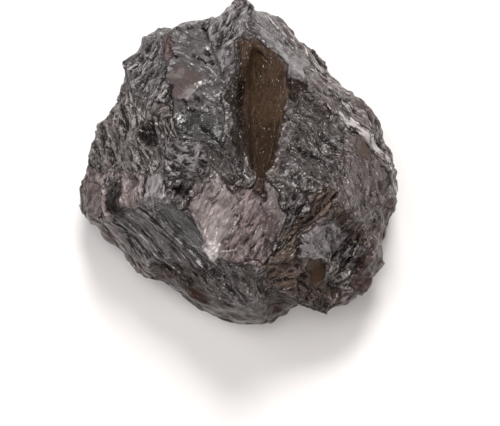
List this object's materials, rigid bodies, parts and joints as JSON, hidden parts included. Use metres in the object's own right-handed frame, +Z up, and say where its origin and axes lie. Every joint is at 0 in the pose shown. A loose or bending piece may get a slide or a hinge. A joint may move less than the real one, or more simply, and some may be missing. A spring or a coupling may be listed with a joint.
{
  "type": "rough smoky quartz crystal",
  "caption": "Palm-sized rough smoky quartz crystal with broken, pitted faces and a clear brown window, lying stably on its flattest face",
  "frame": {"origin": "on the resting face, under the middle of the stone's bounding box", "axes": "+Z up out of the resting face, +Y towards the stone's small point, +X to the right of that"},
  "size_m": [0.0572, 0.0578, 0.0333],
  "materials": {
    "smoky_quartz": "satin"
  },
  "bodies": {
    "root": {"smoky_quartz_crystal": "smoky_quartz"}
  },
  "joints": []
}
